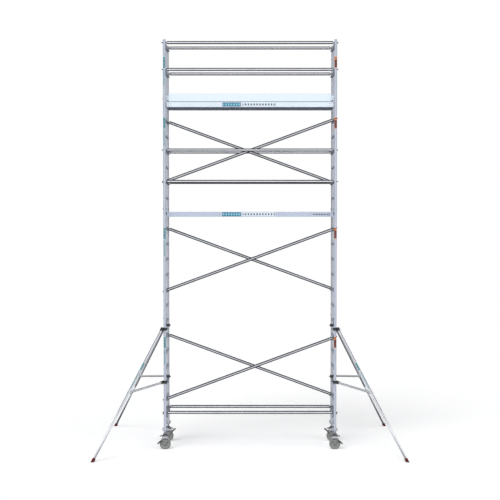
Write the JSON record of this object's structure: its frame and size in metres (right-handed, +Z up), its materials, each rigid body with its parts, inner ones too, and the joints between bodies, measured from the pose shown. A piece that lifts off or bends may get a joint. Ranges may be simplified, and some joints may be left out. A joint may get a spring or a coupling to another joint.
{
  "type": "mobile scaffold tower",
  "caption": "Mobile aluminium scaffold tower: ladder frames, rails, diagonals, trapdoor platforms, outriggers and braked swivel castors, for working at height.",
  "frame": {"origin": "on the floor, under the middle of the scaffold's outline with its stabilisers spread; the tower's own centre line is 0.2 m towards -Y because the back stabilisers reach further", "axes": "+Z up, +X along the platforms towards the right-hand ladder frames, -Y towards the front face"},
  "size_m": [5.4408, 3.1796, 7.33],
  "materials": {
    "frame_tube": "extruded, satin",
    "spigot": "extruded, satin",
    "pin_steel": "zinc plated",
    "brace_tube": "extruded, satin",
    "claw_casting": "die cast",
    "latch": "moulded",
    "platform_beam": "extruded, satin",
    "deck": "resin-faced plywood",
    "toe_board": "painted board",
    "castor_steel": "zinc plated pressing",
    "castor_wheel": "polyamide wheel with a grey tread",
    "castor_pedal": "dark painted",
    "spindle": "zinc plated",
    "nut": "zinc plated casting",
    "stabiliser_tube": "extruded, satin",
    "coupler": "black coated",
    "stabiliser_foot": "extruded, satin, with a dark red rubber foot"
  },
  "bodies": {
    "tower": {"ladder_frame_lower_left": "frame_tube", "ladder_frame_lower_right": "frame_tube", "ladder_frame_middle_left": "frame_tube", "ladder_frame_middle_right": "frame_tube", "ladder_frame_upper_left": "frame_tube", "ladder_frame_upper_right": "frame_tube", "guard_frame_left": "frame_tube", "guard_frame_right": "frame_tube", "frame_spigots": "spigot", "horizontal_rails_front": "brace_tube", "horizontal_rails_back": "brace_tube", "diagonal_braces_front": "brace_tube", "diagonal_braces_back": "brace_tube", "brace_claws": "claw_casting", "platform_middle_frame": "platform_beam", "platform_middle_deck": "deck", "platform_top_frame": "platform_beam", "platform_top_deck": "deck", "toe_boards": "toe_board"},
    "spigot_lock_pins": {"spigot_lock_pins": "pin_steel"},
    "rail_latches_left": {"rail_latches_left": "latch"},
    "rail_latches_right": {"rail_latches_right": "latch"},
    "diagonal_latches_front_low": {"diagonal_latches_front_low": "latch"},
    "diagonal_latches_front_high": {"diagonal_latches_front_high": "latch"},
    "diagonal_latches_back_low": {"diagonal_latches_back_low": "latch"},
    "diagonal_latches_back_high": {"diagonal_latches_back_high": "latch"},
    "trapdoor_middle": {"platform_middle_trapdoor": "deck"},
    "trapdoor_top": {"platform_top_trapdoor": "deck"},
    "spindle_front_left": {"castor_spindle_front_left": "spindle"},
    "nut_front_left": {"castor_nut_front_left": "nut"},
    "fork_front_left": {"castor_fork_front_left": "castor_steel"},
    "wheel_front_left": {"castor_wheel_front_left": "castor_wheel"},
    "pedal_front_left": {"castor_pedal_front_left": "castor_pedal"},
    "spindle_front_right": {"castor_spindle_front_right": "spindle"},
    "nut_front_right": {"castor_nut_front_right": "nut"},
    "fork_front_right": {"castor_fork_front_right": "castor_steel"},
    "wheel_front_right": {"castor_wheel_front_right": "castor_wheel"},
    "pedal_front_right": {"castor_pedal_front_right": "castor_pedal"},
    "spindle_back_left": {"castor_spindle_back_left": "spindle"},
    "nut_back_left": {"castor_nut_back_left": "nut"},
    "fork_back_left": {"castor_fork_back_left": "castor_steel"},
    "wheel_back_left": {"castor_wheel_back_left": "castor_wheel"},
    "pedal_back_left": {"castor_pedal_back_left": "castor_pedal"},
    "spindle_back_right": {"castor_spindle_back_right": "spindle"},
    "nut_back_right": {"castor_nut_back_right": "nut"},
    "fork_back_right": {"castor_fork_back_right": "castor_steel"},
    "wheel_back_right": {"castor_wheel_back_right": "castor_wheel"},
    "pedal_back_right": {"castor_pedal_back_right": "castor_pedal"},
    "stabiliser_front_left": {"stabiliser_tubes_front_left": "stabiliser_tube", "stabiliser_couplers_front_left": "coupler"},
    "stabiliser_foot_front_left": {"stabiliser_foot_leg_front_left": "stabiliser_foot"},
    "stabiliser_front_right": {"stabiliser_tubes_front_right": "stabiliser_tube", "stabiliser_couplers_front_right": "coupler"},
    "stabiliser_foot_front_right": {"stabiliser_foot_leg_front_right": "stabiliser_foot"},
    "stabiliser_back_left": {"stabiliser_tubes_back_left": "stabiliser_tube", "stabiliser_couplers_back_left": "coupler"},
    "stabiliser_foot_back_left": {"stabiliser_foot_leg_back_left": "stabiliser_foot"},
    "stabiliser_back_right": {"stabiliser_tubes_back_right": "stabiliser_tube", "stabiliser_couplers_back_right": "coupler"},
    "stabiliser_foot_back_right": {"stabiliser_foot_leg_back_right": "stabiliser_foot"}
  },
  "joints": [
    {"name": "lock_pin_pull", "type": "slide", "parent": "tower", "child": "spigot_lock_pins", "axis": [-1, 0, 0], "range_m": [0, 0.062]},
    {"name": "rail_latch_slide_left", "type": "slide", "parent": "tower", "child": "rail_latches_left", "axis": [1, 0, 0], "range_m": [0, 0.024], "stiffness_N_per_m": 2000, "springref_m": -0.01},
    {"name": "rail_latch_slide_right", "type": "slide", "parent": "tower", "child": "rail_latches_right", "axis": [-1, 0, 0], "range_m": [0, 0.024], "stiffness_N_per_m": 2000, "springref_m": -0.01},
    {"name": "diagonal_latch_slide_front_low", "type": "slide", "parent": "tower", "child": "diagonal_latches_front_low", "axis": [0.9387, 0, 0.3447], "range_m": [0, 0.024], "stiffness_N_per_m": 600, "springref_m": -0.01},
    {"name": "diagonal_latch_slide_front_high", "type": "slide", "parent": "tower", "child": "diagonal_latches_front_high", "axis": [-0.9387, 0, -0.3447], "range_m": [0, 0.024], "stiffness_N_per_m": 600, "springref_m": -0.01},
    {"name": "diagonal_latch_slide_back_low", "type": "slide", "parent": "tower", "child": "diagonal_latches_back_low", "axis": [-0.9387, 0, 0.3447], "range_m": [0, 0.024], "stiffness_N_per_m": 600, "springref_m": -0.01},
    {"name": "diagonal_latch_slide_back_high", "type": "slide", "parent": "tower", "child": "diagonal_latches_back_high", "axis": [0.9387, 0, -0.3447], "range_m": [0, 0.024], "stiffness_N_per_m": 600, "springref_m": -0.01},
    {"name": "trapdoor_hinge_middle", "type": "hinge", "parent": "tower", "child": "trapdoor_middle", "pos_m": [0.98, 0.052, 4.264], "axis": [-1, 0, 0], "range_deg": [0, 95]},
    {"name": "trapdoor_hinge_top", "type": "hinge", "parent": "tower", "child": "trapdoor_top", "pos_m": [-0.98, 0.052, 6.224], "axis": [-1, 0, 0], "range_deg": [0, 95]},
    {"name": "spindle_slide_front_left", "type": "slide", "parent": "tower", "child": "spindle_front_left", "axis": [0, 0, -1], "range_m": [0, 0.2]},
    {"name": "nut_turn_front_left", "type": "hinge", "parent": "tower", "child": "nut_front_left", "pos_m": [-1.525, -0.55, 0.335], "axis": [0, 0, 1], "continuous": true},
    {"name": "swivel_front_left", "type": "hinge", "parent": "spindle_front_left", "child": "fork_front_left", "pos_m": [-1.525, -0.55, 0.25], "axis": [0, 0, 1], "continuous": true},
    {"name": "wheel_spin_front_left", "type": "hinge", "parent": "fork_front_left", "child": "wheel_front_left", "pos_m": [-1.525, -0.55, 0.1], "axis": [0, 1, 0], "continuous": true},
    {"name": "brake_pedal_front_left", "type": "hinge", "parent": "fork_front_left", "child": "pedal_front_left", "pos_m": [-1.581, -0.55, 0.166], "axis": [0, 1, 0], "range_deg": [0, 80]},
    {"name": "spindle_slide_front_right", "type": "slide", "parent": "tower", "child": "spindle_front_right", "axis": [0, 0, -1], "range_m": [0, 0.2]},
    {"name": "nut_turn_front_right", "type": "hinge", "parent": "tower", "child": "nut_front_right", "pos_m": [1.525, -0.55, 0.335], "axis": [0, 0, 1], "continuous": true},
    {"name": "swivel_front_right", "type": "hinge", "parent": "spindle_front_right", "child": "fork_front_right", "pos_m": [1.525, -0.55, 0.25], "axis": [0, 0, 1], "continuous": true},
    {"name": "wheel_spin_front_right", "type": "hinge", "parent": "fork_front_right", "child": "wheel_front_right", "pos_m": [1.525, -0.55, 0.1], "axis": [0, 1, 0], "continuous": true},
    {"name": "brake_pedal_front_right", "type": "hinge", "parent": "fork_front_right", "child": "pedal_front_right", "pos_m": [1.581, -0.55, 0.166], "axis": [0, -1, 0], "range_deg": [0, 80]},
    {"name": "spindle_slide_back_left", "type": "slide", "parent": "tower", "child": "spindle_back_left", "axis": [0, 0, -1], "range_m": [0, 0.2]},
    {"name": "nut_turn_back_left", "type": "hinge", "parent": "tower", "child": "nut_back_left", "pos_m": [-1.525, 0.15, 0.335], "axis": [0, 0, 1], "continuous": true},
    {"name": "swivel_back_left", "type": "hinge", "parent": "spindle_back_left", "child": "fork_back_left", "pos_m": [-1.525, 0.15, 0.25], "axis": [0, 0, 1], "continuous": true},
    {"name": "wheel_spin_back_left", "type": "hinge", "parent": "fork_back_left", "child": "wheel_back_left", "pos_m": [-1.525, 0.15, 0.1], "axis": [0, 1, 0], "continuous": true},
    {"name": "brake_pedal_back_left", "type": "hinge", "parent": "fork_back_left", "child": "pedal_back_left", "pos_m": [-1.469, 0.15, 0.166], "axis": [0, 1, 0], "range_deg": [0, 80]},
    {"name": "spindle_slide_back_right", "type": "slide", "parent": "tower", "child": "spindle_back_right", "axis": [0, 0, -1], "range_m": [0, 0.2]},
    {"name": "nut_turn_back_right", "type": "hinge", "parent": "tower", "child": "nut_back_right", "pos_m": [1.525, 0.15, 0.335], "axis": [0, 0, 1], "continuous": true},
    {"name": "swivel_back_right", "type": "hinge", "parent": "spindle_back_right", "child": "fork_back_right", "pos_m": [1.525, 0.15, 0.25], "axis": [0, 0, 1], "continuous": true},
    {"name": "wheel_spin_back_right", "type": "hinge", "parent": "fork_back_right", "child": "wheel_back_right", "pos_m": [1.525, 0.15, 0.1], "axis": [0, 1, 0], "continuous": true},
    {"name": "brake_pedal_back_right", "type": "hinge", "parent": "fork_back_right", "child": "pedal_back_right", "pos_m": [1.469, 0.15, 0.166], "axis": [0, -1, 0], "range_deg": [0, 80]},
    {"name": "stabiliser_swing_front_left", "type": "hinge", "parent": "tower", "child": "stabiliser_front_left", "pos_m": [-1.525, -0.55, 1.2], "axis": [0, 0, 1], "range_deg": [-41, 49]},
    {"name": "stabiliser_extend_front_left", "type": "slide", "parent": "stabiliser_front_left", "child": "stabiliser_foot_front_left", "axis": [-0.4233, -0.368, -0.8279], "range_m": [0, 0.3]},
    {"name": "stabiliser_swing_front_right", "type": "hinge", "parent": "tower", "child": "stabiliser_front_right", "pos_m": [1.525, -0.55, 1.2], "axis": [0, 0, 1], "range_deg": [-49, 41]},
    {"name": "stabiliser_extend_front_right", "type": "slide", "parent": "stabiliser_front_right", "child": "stabiliser_foot_front_right", "axis": [0.4233, -0.368, -0.8279], "range_m": [0, 0.3]},
    {"name": "stabiliser_swing_back_left", "type": "hinge", "parent": "tower", "child": "stabiliser_back_left", "pos_m": [-1.525, 0.15, 1.2], "axis": [0, 0, 1], "range_deg": [-39.6, 50.4]},
    {"name": "stabiliser_extend_back_left", "type": "slide", "parent": "stabiliser_back_left", "child": "stabiliser_foot_back_left", "axis": [-0.4013, 0.4851, -0.7769], "range_m": [0, 0.3]},
    {"name": "stabiliser_swing_back_right", "type": "hinge", "parent": "tower", "child": "stabiliser_back_right", "pos_m": [1.525, 0.15, 1.2], "axis": [0, 0, 1], "range_deg": [-50.4, 39.6]},
    {"name": "stabiliser_extend_back_right", "type": "slide", "parent": "stabiliser_back_right", "child": "stabiliser_foot_back_right", "axis": [0.4013, 0.4851, -0.7769], "range_m": [0, 0.3]}
  ],
  "couplings": [
    {"joint": "nut_turn_front_left", "follows": "spindle_slide_front_left", "rad_per_m": 785.4},
    {"joint": "nut_turn_front_right", "follows": "spindle_slide_front_right", "rad_per_m": 785.4},
    {"joint": "nut_turn_back_left", "follows": "spindle_slide_back_left", "rad_per_m": 785.4},
    {"joint": "nut_turn_back_right", "follows": "spindle_slide_back_right", "rad_per_m": 785.4}
  ]
}
